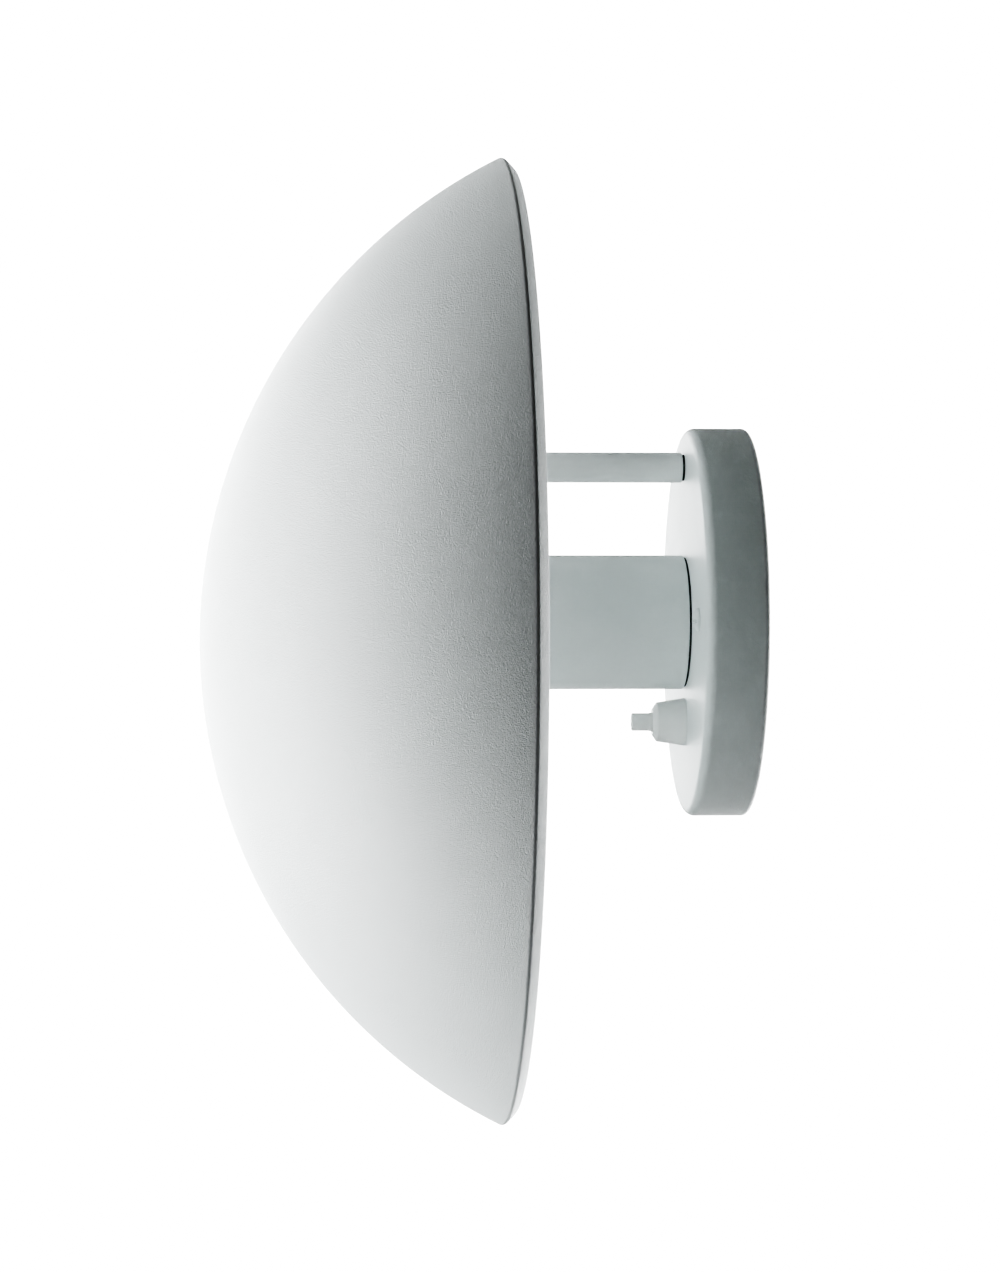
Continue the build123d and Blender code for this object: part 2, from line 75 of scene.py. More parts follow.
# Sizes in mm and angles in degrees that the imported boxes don't give.
RIM_BALL = 212.6           # sphere of the dome's outside
RIM_BEND = 1.5             # outer radius of the bend at its rim
FLANGE_START = 44.0        # the flange's arc, from the radius axis
FLANGE_END = 51.0
SHADE_WALL = 1.5
TUBE_WALL = 1.5
SWITCH_BUSH_R = 5.05       # the collar's bore on the switch's bush
SWITCH_MOUTH_R = 3.95      # the collar's opening around the button
SWITCH_MOUTH_DEPTH = 1.9
BUTTON_STEM_R = 1.8
BUTTON_SKIRT = (7.2, 14.4)  # where the button's wide skirt starts and ends, from its face
SPRING_WIRE_R = 0.35
SPRING_TURNS = 5
LAMP_PITCH = 3.62
LAMP_NECK_R = 14.0
LAMP_SWEEP_R = 45.0        # hollow curve from the ball to the neck
THUMB_HEAD = 8.0           # length of the thumb screw's head
THUMB_SHANK_R = 2.05
KNURLS = 36
KNURL_DEPTH = 0.42
THREAD_PITCH = 1.0         # of the stem and the rod's stud
THREAD_DEPTH = 0.45
STEM_BORE_R = 3.5
LEAD_R = 1.1


# ---- node trees ---------------------------------------------------------------------------
class Tree:
    """A material's node tree, built up with short calls."""

    def __init__(self, name):
        self.material = bpy.data.materials.new(name)
        self.material.use_nodes = True
        self.nodes = self.material.node_tree.nodes
        self.links = self.material.node_tree.links
        self.shader = self.nodes["Principled BSDF"]
        self.place = self.nodes.new("ShaderNodeTexCoord").outputs["Object"]

    def join(self, source, socket):
        self.links.new(source, socket)

    def set(self, **values):
        """Constant values on the shader's own sockets; an underscore stands for a space."""
        for key, value in values.items():
            self.shader.inputs[key.replace("_", " ")].default_value = value

    def stretched(self, scale):
        """The object's coordinates, scaled unequally, for a grain with a direction."""
        node = self.nodes.new("ShaderNodeMapping")
        node.inputs["Scale"].default_value = scale
        self.join(self.place, node.inputs["Vector"])
        return node.outputs["Vector"]

    def noise(self, size, detail=2.0, rough=0.5, place=None):
        """Noise whose features are about size metres across."""
        node = self.nodes.new("ShaderNodeTexNoise")
        node.inputs["Scale"].default_value = 1.0 / size
        node.inputs["Detail"].default_value = detail
        node.inputs["Roughness"].default_value = rough
        self.join(place or self.place, node.inputs["Vector"])
        return node.outputs["Fac"]

    def spread(self, source, low, high, start=0.3, end=0.7):
        """A factor mapped from start..end to low..high."""
        node = self.nodes.new("ShaderNodeMapRange")
        node.inputs["From Min"].default_value = start
        node.inputs["From Max"].default_value = end
        node.inputs["To Min"].default_value = low
        node.inputs["To Max"].default_value = high
        self.join(source, node.inputs["Value"])
        return node.outputs["Result"]

    def mix(self, factor, first, second):
        """Colour between first and second; each is a colour or a socket."""
        node = self.nodes.new("ShaderNodeMix")
        node.data_type = "RGBA"
        self.join(factor, node.inputs["Factor"])
        for value, socket in ((first, node.inputs[6]), (second, node.inputs[7])):
            if isinstance(value, tuple):
                socket.default_value = (*value, 1.0)
            else:
                self.join(value, socket)
        return node.outputs[2]

    def combine(self, first, second, how):
        """Math node; second is a number or a socket."""
        node = self.nodes.new("ShaderNodeMath")
        node.operation = how
        self.join(first, node.inputs[0])
        if isinstance(second, float):
            node.inputs[1].default_value = second
        else:
            self.join(second, node.inputs[1])
        return node.outputs[0]

    def specks(self, cell, radius, share):
        """1 inside a few small round specks and 0 elsewhere."""
        node = self.nodes.new("ShaderNodeTexVoronoi")
        node.inputs["Scale"].default_value = 1.0 / cell
        self.join(self.place, node.inputs["Vector"])
        near = self.combine(node.outputs["Distance"], radius / cell, "LESS_THAN")
        split = self.nodes.new("ShaderNodeSeparateColor")
        self.join(node.outputs["Color"], split.inputs["Color"])
        chosen = self.combine(split.outputs[0], share, "LESS_THAN")
        return self.combine(near, chosen, "MULTIPLY")

    def colour(self, source):
        self.join(source, self.shader.inputs["Base Color"])

    def roughness(self, source):
        self.join(source, self.shader.inputs["Roughness"])

    def bump(self, height, distance):
        """Adds relief; distance is how far the height's 0 to 1 stands, in metres."""
        node = self.nodes.new("ShaderNodeBump")
        node.inputs["Distance"].default_value = distance
        node.inputs["Strength"].default_value = 1.0
        self.join(height, node.inputs["Height"])
        old = self.shader.inputs["Normal"]
        if old.is_linked:
            self.join(old.links[0].from_socket, node.inputs["Normal"])
        self.join(node.outputs["Normal"], old)


def white_paint(name, tint=(0.772, 0.814, 0.813), grain=0.3):
    """Satin sprayed paint: orange peel, a finer grain, faint cloudiness and a little dust."""
    t = Tree(name)
    dull = tuple(c * 0.965 for c in tint)
    clean = t.mix(t.spread(t.noise(0.05, 3.0), 0.0, 1.0), tint, dull)
    grey = tuple(c * 0.22 for c in tint)
    t.colour(t.mix(t.specks(0.034, 0.00042, 0.45), clean, grey))
    t.roughness(t.spread(t.noise(0.004, 4.0), 0.40, 0.52))
    t.bump(t.noise(0.0024, 3.0, 0.6), 0.00006)
    t.bump(t.noise(0.0010, 3.0, 0.7), 0.00020 * grain)
    t.bump(t.noise(0.0005, 1.0, 0.5), 0.00016 * grain)
    t.set(IOR=1.5, Specular_IOR_Level=0.45)
    return t.material


def zinc(name):
    """Dulled zinc plate: rolled grain, faint passivation colours and a few darker patches."""
    t = Tree(name)
    warm = t.mix(t.spread(t.noise(0.009, 2.0), 0.0, 1.0), (0.29, 0.30, 0.32), (0.32, 0.31, 0.28))
    t.colour(t.mix(t.spread(t.noise(0.02, 4.0), 0.0, 0.5, 0.5, 0.8), warm, (0.22, 0.23, 0.24)))
    grain = t.noise(0.0007, 3.0, 0.6, t.stretched((0.08, 1.0, 1.0)))
    t.roughness(t.spread(grain, 0.48, 0.66))
    t.bump(grain, 0.000005)
    t.set(Metallic=1.0)
    return t.material


def nickel(name):
    """Nickel plate, fine turned lines and light handling marks."""
    t = Tree(name)
    t.colour(t.mix(t.spread(t.noise(0.004), 0.0, 1.0), (0.66, 0.63, 0.58), (0.74, 0.72, 0.68)))
    lines = t.noise(0.0005, 2.0, 0.5, t.stretched((0.6, 1.0, 0.6)))
    t.roughness(t.spread(lines, 0.14, 0.32))
    t.bump(lines, 0.000006)
    t.set(Metallic=1.0)
    return t.material


def brass(name):
    """Brass with a little tarnish."""
    t = Tree(name)
    t.colour(t.mix(t.spread(t.noise(0.003, 3.0), 0.0, 1.0, 0.4, 0.7), (0.80, 0.60, 0.28),
                   (0.50, 0.34, 0.15)))
    t.roughness(t.spread(t.noise(0.0015, 3.0), 0.2, 0.42))
    t.bump(t.noise(0.0004), 0.000008)
    t.set(Metallic=1.0)
    return t.material


def moulding(name, tint, low=0.4, high=0.52, grain=0.00025, relief=0.000012):
    """Moulded plastic: even colour with a trace of flow, and a fine spark-eroded grain."""
    t = Tree(name)
    dull = tuple(c * 0.94 for c in tint)
    t.colour(t.mix(t.spread(t.noise(0.012, 2.0), 0.0, 1.0), tint, dull))
    t.roughness(t.spread(t.noise(0.002, 3.0), low, high))
    t.bump(t.noise(grain, 2.0), relief)
    t.set(IOR=1.49)
    return t.material


def ceramic(name):
    """Unglazed insulator ceramic with fine dark grains."""
    t = Tree(name)
    t.colour(t.mix(t.specks(0.0016, 0.0002, 0.6), (0.78, 0.75, 0.68), (0.5, 0.46, 0.4)))
    t.roughness(t.spread(t.noise(0.001, 4.0), 0.6, 0.85))
    t.bump(t.noise(0.0004, 4.0), 0.00003)
    return t.material


def opal_glass(name):
    """Opal glass: milky body under a smooth skin with slight waves."""
    t = Tree(name)
    t.colour(t.mix(t.spread(t.noise(0.03, 2.0), 0.0, 1.0), (0.86, 0.86, 0.84), (0.82, 0.82, 0.80)))
    t.roughness(t.spread(t.noise(0.01, 2.0), 0.08, 0.14))
    t.bump(t.noise(0.02, 1.0), 0.00004)
    t.set(Subsurface_Weight=0.35, Subsurface_Scale=0.004, IOR=1.5, Coat_Weight=0.4)
    t.shader.inputs["Subsurface Radius"].default_value = (1.0, 1.0, 1.0)
    return t.material


def clear_glass(name):
    """Clear glass with the faintest green."""
    t = Tree(name)
    t.colour(t.mix(t.noise(0.01), (0.95, 0.97, 0.96), (0.9, 0.94, 0.93)))
    t.roughness(t.spread(t.noise(0.005), 0.02, 0.06))
    t.set(Transmission_Weight=1.0, IOR=1.47)
    return t.material


def lead_skin(name, tint, stripe=None):
    """Glossy insulation; stripe is a second colour down two sides of the lead."""
    t = Tree(name)
    dull = tuple(c * 0.8 for c in tint)
    base = t.mix(t.spread(t.noise(0.004, 2.0), 0.0, 1.0), tint, dull)
    if stripe:
        split = t.nodes.new("ShaderNodeSeparateXYZ")
        t.join(t.nodes.new("ShaderNodeNewGeometry").outputs["Normal"], split.inputs[0])
        side = t.combine(split.outputs[0], 0.0, "ABSOLUTE")
        base = t.mix(t.spread(side, 0.0, 1.0, 0.72, 0.76), base, stripe)
    t.colour(base)
    t.roughness(t.spread(t.noise(0.0015, 3.0), 0.28, 0.42))
    t.bump(t.noise(0.0006, 2.0), 0.00001)
    return t.material


MAKERS = {
    "white_paint": white_paint,
    "shade_paint": lambda n: white_paint(n, (0.757, 0.812, 0.812), 1.0),
    "zinc_steel": zinc,
    # Near-black spacers behind the tube and rod: partly the spacers' own dark finish, partly
    # painted shade that deepens the shadow gaps.
    "black_steel": lambda n: moulding(n, (0.012, 0.012, 0.013), 0.6, 0.75),
    "nickel": nickel,
    "brass": brass,
    "rubber_black": lambda n: moulding(n, (0.03, 0.03, 0.032), 0.6, 0.8, 0.0006, 0.00002),
    "switch_plastic": lambda n: moulding(n, (0.90, 0.91, 0.90), 0.36, 0.46),
    "dark_plastic": lambda n: moulding(n, (0.035, 0.035, 0.04)),
    "nylon": lambda n: moulding(n, (0.78, 0.77, 0.72), 0.35, 0.5),
    "holder_plastic": lambda n: moulding(n, (0.80, 0.79, 0.75), 0.22, 0.32),
    "ceramic": ceramic,
    "opal_glass": opal_glass,
    "clear_glass": clear_glass,
    "black_glass": lambda n: moulding(n, (0.012, 0.012, 0.016), 0.05, 0.14, 0.001, 0.00001),
    "solder": zinc,
    "filament_wire": nickel,
    "lead_brown": lambda n: lead_skin(n, (0.17, 0.07, 0.03)),
    "lead_black": lambda n: lead_skin(n, (0.02, 0.02, 0.022)),
    "lead_blue": lambda n: lead_skin(n, (0.03, 0.13, 0.45)),
    "lead_green_yellow": lambda n: lead_skin(n, (0.06, 0.32, 0.07), (0.75, 0.62, 0.04)),
}
MATERIALS = {slot: MAKERS.get(slot, zinc)(slot + "_finish")
             for slot in sorted(set(SLOT_OF.values()))}


# ---- meshes -------------------------------------------------------------------------------
def seat(node):
    """Outer radius, y at the wall end, y at the room end and (x, z) of a round node, in mm."""
    low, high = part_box(node)
    at = ((low.x + high.x) / 2 / MM, (low.z + high.z) / 2 / MM)
    return (high.x - low.x) / 2 / MM, high.y / MM, low.y / MM, at


def arc(centre, radius, start, end, steps):
    """Points of an arc in the (radius, y) plane, angles in degrees from the radius axis."""
    points = []
    for i in range(steps + 1):
        a = math.radians(start + (end - start) * i / steps)
        points.append((centre[0] + radius * math.cos(a), centre[1] + radius * math.sin(a)))
    return points


def eased(corners, rounding, steps=5):
    """Closed outline with its corners rounded; a corner's third number is its own rounding."""
    points = []
    for i, corner in enumerate(corners):
        p = Vector(corner[:2])
        r = corner[2] if len(corner) > 2 else rounding
        before = Vector(corners[i - 1][:2]) - p
        after = Vector(corners[(i + 1) % len(corners)][:2]) - p
        if p.x < 1e-6 or r == 0:
            points.append(tuple(p))
            continue
        half = before.angle(after) / 2
        cut = min(r / math.tan(half), 0.45 * before.length, 0.45 * after.length)
        a = p + before.normalized() * cut
        b = p + after.normalized() * cut
        middle = p + (before.normalized() + after.normalized()).normalized() * (
            cut * math.tan(half) / math.sin(half))
        start = (a - middle).normalized()
        end = (b - middle).normalized()
        sweep = start.angle(end)
        for k in range(steps + 1):
            t = k / steps
            way = (start * math.sin((1 - t) * sweep) + end * math.sin(t * sweep)) / math.sin(sweep)
            points.append(tuple(middle + way * cut * math.tan(half)))
    return points


def dense(points, step, low, high):
    """Adds points to straight runs between low and high in y, at most step apart."""
    filled = []
    for p, q in zip(points, points[1:] + points[:1]):
        filled.append(p)
        if min(p[1], q[1]) > high or max(p[1], q[1]) < low:
            continue
        count = int(abs(q[1] - p[1]) / step)
        for k in range(1, count):
            t = k / count
            filled.append((p[0] + (q[0] - p[0]) * t, p[1] + (q[1] - p[1]) * t))
    return filled


def finish_mesh(name, bm, crease):
    """Mesh object of a bmesh in mm, smooth but for edges sharper than crease degrees."""
    bmesh.ops.remove_doubles(bm, verts=bm.verts, dist=1e-5)
    bmesh.ops.recalc_face_normals(bm, faces=bm.faces)
    mesh = bpy.data.meshes.new(name)
    bm.to_mesh(mesh)
    bm.free()
    mesh.transform(SHRINK)
    for polygon in mesh.polygons:
        polygon.use_smooth = True
    mesh.set_sharp_from_angle(angle=math.radians(crease))
    obj = bpy.data.objects.new(name, mesh)
    bpy.context.scene.collection.objects.link(obj)
    return obj


def lathe(name, outline, at, segments=128, relief=None, crease=35, along="Y"):
    """Turns a closed outline of (radius, y) points about a line along Y, or along X.

    at is the line's place: (x, z), or (y, z) along X. relief(radius, y, angle) gives a new
    radius. The angle is counted about the line's own direction, as a right-hand screw turns."""
    bm = bmesh.new()
    rows = []
    for radius, y in outline:
        if radius < 1e-6:
            rows.append([bm.verts.new(stand(0, y, 0, at, along))] * segments)
            continue
        row = []
        for k in range(segments):
            angle = 2 * math.pi * k / segments
            r = relief(radius, y, angle) if relief else radius
            row.append(bm.verts.new(stand(r, y, angle, at, along)))
        rows.append(row)
    for first, second in zip(rows, rows[1:] + rows[:1]):
        for k in range(segments):
            n = (k + 1) % segments
            ring = [first[k], first[n], second[n], second[k]]
            corners = [v for i, v in enumerate(ring) if v not in ring[:i]]
            if len(corners) > 2:
                bm.faces.new(corners)
    return finish_mesh(name, bm, crease)


def stand(radius, along_line, angle, at, along):
    """Point at an angle and distance from the line, which runs along Y or X."""
    s, c = radius * math.sin(angle), radius * math.cos(angle)
    if along == "Y":
        return (at[0] + s, along_line, at[1] + c)
    return (along_line, at[0] + c, at[1] + s)


def stands_for(obj, *nodes):
    """The piece rides, hides and is finished as the CAD nodes that it stands for."""
    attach(obj, BODY_OF[nodes[0]])
    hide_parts(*nodes)
    obj.data.materials.append(MATERIALS[SLOT_OF[nodes[0]]])
    return obj


def screw_wave(pitch, depth, back, front, run_out):
    """Relief of a thread: a rounded groove depth deep that fades out at both ends."""

    def relief(radius, y, angle):
        edge = min(back - y, y - front) / run_out
        if edge <= 0:
            return radius
        wave = 0.5 - 0.5 * math.cos(2 * math.pi * (y / pitch) - angle)
        return radius - depth * wave * min(1.0, edge)

    return relief


def shade_shell():
    """Spun dome, bent sharply at its rim into a short rounded flange that slopes to the wall."""
    outer_r, rim, apex, at = seat("shade")
    bend_r = outer_r - RIM_BEND
    centre = Vector((0.0, apex + RIM_BALL))
    drop = math.sqrt((RIM_BALL - RIM_BEND) ** 2 - bend_r ** 2)
    bend = Vector((bend_r, centre.y - drop))
    lean = math.degrees(math.atan2(drop, bend_r))
    lip_r = SHADE_WALL / 2
    first, last = (Vector(arc((0, 0), 1, a, a, 1)[0]) for a in (FLANGE_START, FLANGE_END))
    rise = rim - lip_r - bend.y - RIM_BEND * first.y + lip_r * last.y
    flange_r = rise / (last.y - first.y)
    hub = bend - first * (flange_r - RIM_BEND)
    lip = hub + last * (flange_r - lip_r)
    outline = arc(centre, RIM_BALL, -90, -lean, 90)
    outline += arc(bend, RIM_BEND, -lean, FLANGE_START, 16)[1:]
    outline += arc(hub, flange_r, FLANGE_START, FLANGE_END, 10)[1:]
    outline += arc(lip, lip_r, FLANGE_END, FLANGE_END + 180, 10)[1:]
    outline += arc(hub, flange_r - SHADE_WALL, FLANGE_END, FLANGE_START, 10)[1:]
    outline += arc(centre, RIM_BALL - SHADE_WALL, -lean, -90, 90)[1:]
    outline[0] = (0.0, outline[0][1])
    outline[-1] = (0.0, outline[-1][1])
    stands_for(lathe("shade_shell", outline, at, segments=288), "shade")


def tube_and_rod():
    """The two plain white members, their edges softened by the paint."""
    r, back, front, at = seat("lamp_tube")
    inner = r - TUBE_WALL
    outline = eased([(inner, back), (r, back), (r, front), (inner, front)], 0.3)
    stands_for(lathe("tube_sleeve", outline, at, segments=160), "lamp_tube")
    r, back, front, at = seat("shade_rod")
    outline = eased([(0, back), (3.2, back), (r, back, 0.7), (r, front, 1.0), (0, front)], 0.0)
    rod = stands_for(lathe("rod_bar", outline, at, segments=72), "shade_rod")
    # The rod gets a lighter copy of the white paint: painted light, standing in for the light that
    # falls on the rod from below.
    rod.data.materials[0] = white_paint("rod_paint_with_painted_light", (0.885, 0.905, 0.905))


def switch_parts():
    """Tapered collar and soft-edged push button."""
    r, back, front, at = seat("switch_collar")
    step = front + SWITCH_MOUTH_DEPTH
    outline = eased([(SWITCH_BUSH_R, back), (r, back, 0.3), (r - 1.75, front + 1.7, 0.9),
                     (r - 4.2, front, 0.35), (SWITCH_MOUTH_R, front, 0.3),
                     (SWITCH_MOUTH_R, step), (SWITCH_BUSH_R, step)], 0.1)
    stands_for(lathe("collar_ring", outline, at, segments=112), "switch_collar")
    r, back, front, at = seat("switch_button")
    face = r - 0.15
    skirt, skirt_end = (front + length for length in BUTTON_SKIRT)
    outline = eased([(0, back), (BUTTON_STEM_R, back), (BUTTON_STEM_R, skirt_end),
                     (r, skirt_end), (r, skirt), (face, front + 7.05),
                     (face, front + 0.2, 0.6), (0, front)], 0.12)
    stands_for(lathe("button_cap", outline, at, segments=64), "switch_button")


def spring():
    """Return spring of round wire, built at rest length on a mesh of its own; the real spring
    shortens as the button is pressed.
    """
    low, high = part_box("switch_spring")
    at = ((low.x + high.x) / 2 / MM, (low.z + high.z) / 2 / MM)
    coil_r = (high.x - low.x) / 2 / MM - SPRING_WIRE_R
    start, end = high.y / MM - SPRING_WIRE_R, low.y / MM + SPRING_WIRE_R
    slope = (end - start) / (2 * math.pi * SPRING_TURNS * coil_r)
    sides = 10
    around = [2 * math.pi * k / sides for k in range(sides)]
    steps = SPRING_TURNS * 32
    bm = bmesh.new()
    rings = []
    for i in range(steps + 1):
        angle = 2 * math.pi * SPRING_TURNS * i / steps
        y = start + (end - start) * i / steps
        centre = Vector(stand(coil_r, y, angle, at, "Y"))
        out = Vector((math.sin(angle), 0, math.cos(angle)))
        ahead = Vector((math.cos(angle), slope, -math.sin(angle)))
        across = ahead.cross(out).normalized()
        ring = []
        for a in around:
            reach = out * math.cos(a) + across * math.sin(a)
            ring.append(bm.verts.new(centre + SPRING_WIRE_R * reach))
        rings.append(ring)
    for first, second in zip(rings, rings[1:]):
        for k in range(sides):
            bm.faces.new([first[k - 1], first[k], second[k], second[k - 1]])
    bm.faces.new(rings[0])
    bm.faces.new(rings[-1])
    coil = stands_for(finish_mesh("spring_coil", bm, 50), "switch_spring")
    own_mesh(coil)


def lamp():
    """Opal ball and neck, and the rolled screw cap with its thread."""
    r, back, front, at = seat("bulb_glass")
    ball = (0.0, front + r)
    reach = LAMP_NECK_R + LAMP_SWEEP_R
    rise = math.sqrt((r + LAMP_SWEEP_R) ** 2 - reach ** 2)
    turn = math.degrees(math.atan2(rise, reach))
    outline = arc(ball, r, -90, turn, 56)
    outline += arc((reach, ball[1] + rise), LAMP_SWEEP_R, 180 + turn, 180, 20)[1:]
    outline += [(LAMP_NECK_R, -99.8), (13.6, -99.0), (12.2, -98.2), (12.2, back), (0, back)]
    outline[0] = (0.0, front)
    stands_for(lathe("bulb_ball", outline, at, segments=128), "bulb_glass")
    r, back, front, at = seat("bulb_cap")
    outer = [(12.5, front), (13.0, front, 0.2), (r, front + 0.8, 0.3), (r, back - 1.4, 0.2),
             (12.3, back, 0.3), (11.4, back), (12.2, back - 1.9), (12.3, front + 0.4)]
    outline = dense(eased(outer, 0.1), 0.3, front, back)
    thread = screw_wave(LAMP_PITCH, 0.78, back - 1.6, front + 2.2, 1.4)
    cap = lathe("bulb_screw_cap", outline, at, segments=96, crease=60,
                relief=lambda r, y, a: thread(r, y, a) if r > 12.6 else r)
    stands_for(cap, "bulb_cap")
    r, back, front, at = seat("holder_shell")
    outline = dense([(r - 0.5, back), (r, back), (r, front), (r - 0.5, front)], 0.3, front, back)
    thread = screw_wave(LAMP_PITCH, 0.45, back - 1.0, front + 1.0, 1.2)
    stands_for(lathe("holder_thread_shell", outline, at, segments=96, relief=thread, crease=60),
               "holder_shell")


def thumb_screw():
    """Clamping screw with a straight-knurled, dished head."""
    low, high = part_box("clamp_screw")
    at = ((low.y + high.y) / 2 / MM, (low.z + high.z) / 2 / MM)
    tip, end = low.x / MM, high.x / MM
    head = (high.z - low.z) / 2 / MM
    back = end - THUMB_HEAD
    shank = THUMB_SHANK_R
    corners = [(0, tip), (1.6, tip), (shank, tip + 0.5), (shank, back - 0.01), (3.6, back),
               (head, back, 0.7), (head, end, 0.7), (head - 1.6, end, 0.3),
               (head - 2.2, end - 0.5, 0.4), (0, end - 0.7)]
    outline = dense(eased(corners, 0.1), 1.0, back, end)

    def knurl(radius, x, angle):
        if radius < head - 1.0:
            return radius
        groove = max(0.0, math.cos(KNURLS * angle)) ** 0.5
        edge = min(1.0, (x - back) / 0.9, (end - x) / 0.9)
        return radius - KNURL_DEPTH * (1 - groove) * max(0.0, edge)

    stands_for(lathe("thumb_screw", outline, at, segments=360, relief=knurl, crease=50,
                     along="X"), "clamp_screw")


def threaded(name, node, bore):
    """Threaded stud or stem with bevelled ends; bore is its hole's radius, 0 for none."""
    r, back, front, at = seat(node)
    pitch, depth = THREAD_PITCH, THREAD_DEPTH
    outline = [(bore, back), (r - depth, back), (r, back - depth), (r, front + depth),
               (r - depth, front), (bore, front)]
    thread = screw_wave(pitch, depth, back - 0.2, front + 0.2, pitch / 2)
    rod = lathe(name, dense(outline, pitch / 8, front, back), at, segments=48, crease=60,
                relief=lambda r, y, a: thread(r, y, a) if r > bore + 0.8 else r)
    stands_for(rod, node)


LEADS = {                 # centre line of each lead, in mm
    "live_lead": [(30, -8, -4), (30, -8, -13), (30, -8, -22), (28.5, -7.9, -30),
                  (23, -7.6, -37.5), (14, -7.5, -39.5), (4.4, -7.5, -39.5)],
    "switched_lead": [(-4.4, -7.5, -39.5), (-11, -7.5, -39.5), (-16.5, -7.6, -38),
                      (-18, -7.8, -32), (-18, -8, -24), (-17.4, -8, -14.5), (-11, -8.2, -8.6),
                      (-4.5, -9, -2.6), (-1.5, -14, 0), (-1.5, -26, 0), (-1.5, -44, 0),
                      (-2, -49.8, 0), (-7.5, -54.5, 0)],
    "neutral_lead": [(22, -8, -4), (22, -8, -9), (21.4, -8, -15.6), (15.5, -8, -17),
                     (10.4, -8, -16.4), (6.8, -8.2, -11.5), (3.2, -9, -3.6), (1.5, -14, 0),
                     (1.5, -26, 0), (1.5, -44, 0), (2, -49.8, 0), (7.5, -54.5, 0)],
    "earth_lead": [(38, -8, -4), (38, -8, -11), (38.2, -8.4, -17.6), (40, -12.7, -22.5),
                   (43, -16.8, -24.5)],
}


def leads():
    """Insulated leads as smooth tubes along the same routes as the CAD's runs and arcs."""
    for node, route in LEADS.items():
        curve = bpy.data.curves.new(node + "_skin", "CURVE")
        curve.dimensions = "3D"
        curve.bevel_depth = LEAD_R * MM
        curve.bevel_resolution = 6
        curve.resolution_u = 10
        curve.use_fill_caps = True
        spline = curve.splines.new("NURBS")
        spline.points.add(len(route) - 1)
        for point, place in zip(spline.points, route):
            point.co = (*(v * MM for v in place), 1.0)
        spline.order_u = 3
        spline.use_endpoint_u = True
        line = bpy.data.objects.new(node + "_line", curve)
        bpy.context.scene.collection.objects.link(line)
        bpy.context.view_layer.update()
        mesh = bpy.data.meshes.new_from_object(line.evaluated_get(
            bpy.context.evaluated_depsgraph_get()))
        bpy.data.objects.remove(line)
        mesh.name = node + "_skin"
        obj = bpy.data.objects.new(node + "_skin", mesh)
        bpy.context.scene.collection.objects.link(obj)
        mesh.materials.clear()
        stands_for(obj, node)


def softened(width, *nodes):
    """Breaks the sharp edges of pressed and moulded CAD nodes; the base mesh isn't changed."""
    for name in nodes:
        weld = NODES[name].modifiers.new("weld", "WELD")
        weld.merge_threshold = 1e-6
        bevel = NODES[name].modifiers.new("edges", "BEVEL")
        bevel.width = width * MM
        bevel.segments = 2
        bevel.limit_method = "ANGLE"
        bevel.angle_limit = math.radians(50)
        bevel.use_clamp_overlap = True
        bevel.harden_normals = True


# ---- the lamp ------------------------------------------------------------------------------
shade_shell()
tube_and_rod()
switch_parts()
spring()
lamp()
thumb_screw()
threaded("stem_thread", "fixing_stem", STEM_BORE_R)
threaded("stud_thread", "rod_stud", 0.0)
leads()
softened(0.3, "wall_bracket", "terminal_block", "switch_body")
softened(0.15, "stem_nuts", "rod_nut", "cover_pillars", "terminal_fixing_screws",
         "terminal_screws", "earth_screws", "cover_screws")

for name, node in NODES.items():
    node.data.materials.clear()
    node.data.materials.append(MATERIALS[SLOT_OF[name]])


# ---- light, floor and camera --------------------------------------------------------------
LOW, HIGH = CAD_BOX
CENTRE = (LOW + HIGH) / 2


def direction(azimuth, elevation):
    """Unit vector away from the lamp. Azimuth 0 is the room in front of it, 90 is +X."""
    a, e = math.radians(azimuth), math.radians(elevation)
    return Vector((math.sin(a) * math.cos(e), -math.cos(a) * math.cos(e), math.sin(e)))


WHITE_OUT = 6.0            # what the camera sees of the floor and the background
IN_GLOSS = 0.35            # and what a glossy surface reflects of them
FLOOR_SIZE = 30.0
FLOOR_DROP = 1.3           # the floor is this far below a lamp that hangs on a wall
SOFTBOX_SIZE = 1.3
SOFTBOX_AWAY = 2.2
LENS = 120.63              # mm, on a 36 mm sensor
EYE = (1.67936, -0.22475, -0.0337)
YAW, PITCH, ROLL = -0.075769, 0.016793, 0.002217


def seen_as(tree, shader):
    """White to the camera, pale grey in reflections, and the given shader to other rays."""
    kind = "ShaderNodeBackground" if shader.type == "BACKGROUND" else "ShaderNodeEmission"
    ray = tree.nodes.new("ShaderNodeLightPath")
    result = shader.outputs[0]
    for flag, strength in (("Is Glossy Ray", IN_GLOSS), ("Is Camera Ray", WHITE_OUT)):
        glow = tree.nodes.new(kind)
        glow.inputs["Color"].default_value = (1.0, 1.0, 1.0, 1.0)
        glow.inputs["Strength"].default_value = strength
        mixed = tree.nodes.new("ShaderNodeMixShader")
        tree.links.new(ray.outputs[flag], mixed.inputs[0])
        tree.links.new(result, mixed.inputs[1])
        tree.links.new(glow.outputs[0], mixed.inputs[2])
        result = mixed.outputs[0]
    return result


SOFTBOXES = {              # azimuth, elevation, watts
    "key_low": (-30, -15, 80),
    "key_high": (-30, 15, 46),
    "under": (-15, -42, 46),
    "front": (0, 26, 11),
    "side": (-75, 4, 40),
    "back_side": (-120, -14, 44),
    "back": (-148, 0, 44),
    "back_low": (-160, -10, 22),
}


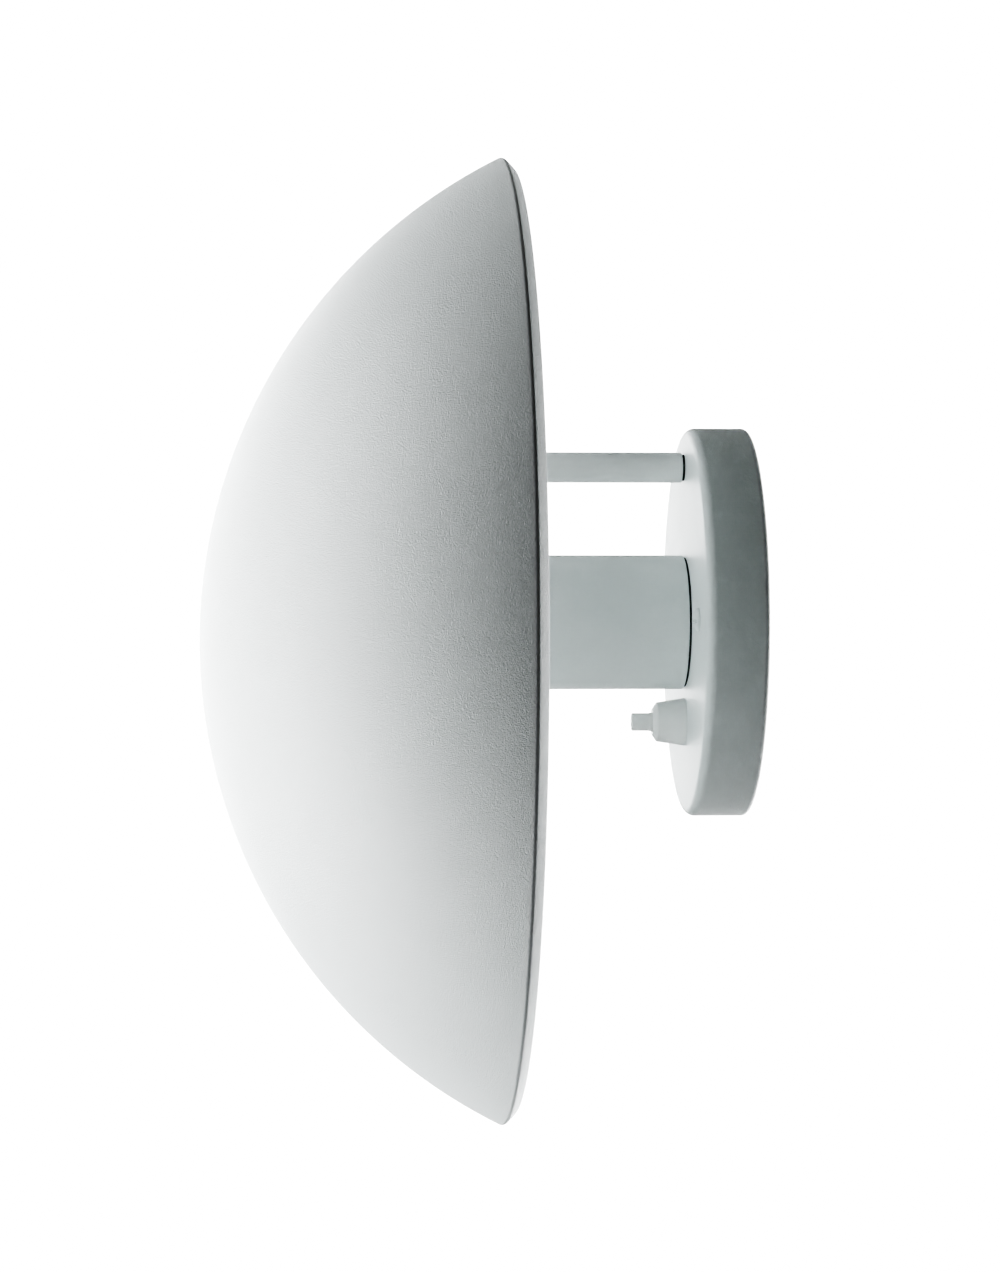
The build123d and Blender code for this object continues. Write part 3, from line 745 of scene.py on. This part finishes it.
def area_light(name, shape, size, power, place, away):
    """Invisible area light at a place, turned so that it shines against the direction away."""
    light = bpy.data.lights.new(name, "AREA")
    light.shape = shape
    light.size = size
    light.energy = power
    holder = bpy.data.objects.new(name, light)
    holder.location = place
    holder.rotation_euler = away.to_track_quat("Z", "Y").to_euler()
    holder.visible_camera = False
    bpy.context.scene.collection.objects.link(holder)


def studio():
    """Pale background, floor and softboxes."""
    scene = bpy.context.scene
    world = bpy.data.worlds.new("studio")
    world.use_nodes = True
    scene.world = world
    tree = world.node_tree
    dim = tree.nodes["Background"]
    dim.inputs["Color"].default_value = (0.97, 0.99, 1.0, 1.0)
    dim.inputs["Strength"].default_value = 0.008
    tree.links.new(seen_as(tree, dim), tree.nodes["World Output"].inputs["Surface"])
    bpy.ops.mesh.primitive_grid_add(x_subdivisions=8, y_subdivisions=8, size=FLOOR_SIZE,
                                    location=(CENTRE.x, CENTRE.y, LOW.z - FLOOR_DROP))
    floor = bpy.context.object
    floor.name = "floor"
    paint = bpy.data.materials.new("floor")
    paint.use_nodes = True
    tree = paint.node_tree
    shader = tree.nodes["Principled BSDF"]
    shader.inputs["Base Color"].default_value = (0.15, 0.15, 0.15, 1.0)
    shader.inputs["Roughness"].default_value = 0.8
    tree.links.new(seen_as(tree, shader), tree.nodes["Material Output"].inputs["Surface"])
    floor.data.materials.append(paint)
    for name, (azimuth, elevation, power) in SOFTBOXES.items():
        away = direction(azimuth, elevation)
        area_light(name, "DISK", SOFTBOX_SIZE, power, CENTRE + away * SOFTBOX_AWAY, away)
    scene.view_settings.view_transform = "AgX"
    scene.view_settings.look = "AgX - High Contrast"


def camera():
    """Camera at lamp height, 1.7 m to the side, turned a little to the lamp's wall side."""
    data = bpy.data.cameras.new("camera")
    data.sensor_width = 36
    data.lens = LENS
    eye = bpy.data.objects.new("camera", data)
    eye.location = EYE
    forward = Vector((-math.cos(YAW) * math.cos(PITCH), -math.sin(YAW) * math.cos(PITCH),
                      math.sin(PITCH)))
    eye.rotation_mode = "QUATERNION"
    eye.rotation_quaternion = forward.to_track_quat("-Z", "Y")
    eye.rotation_quaternion.rotate(Quaternion(forward, ROLL))
    bpy.context.scene.collection.objects.link(eye)
    bpy.context.scene.camera = eye


studio()
camera()
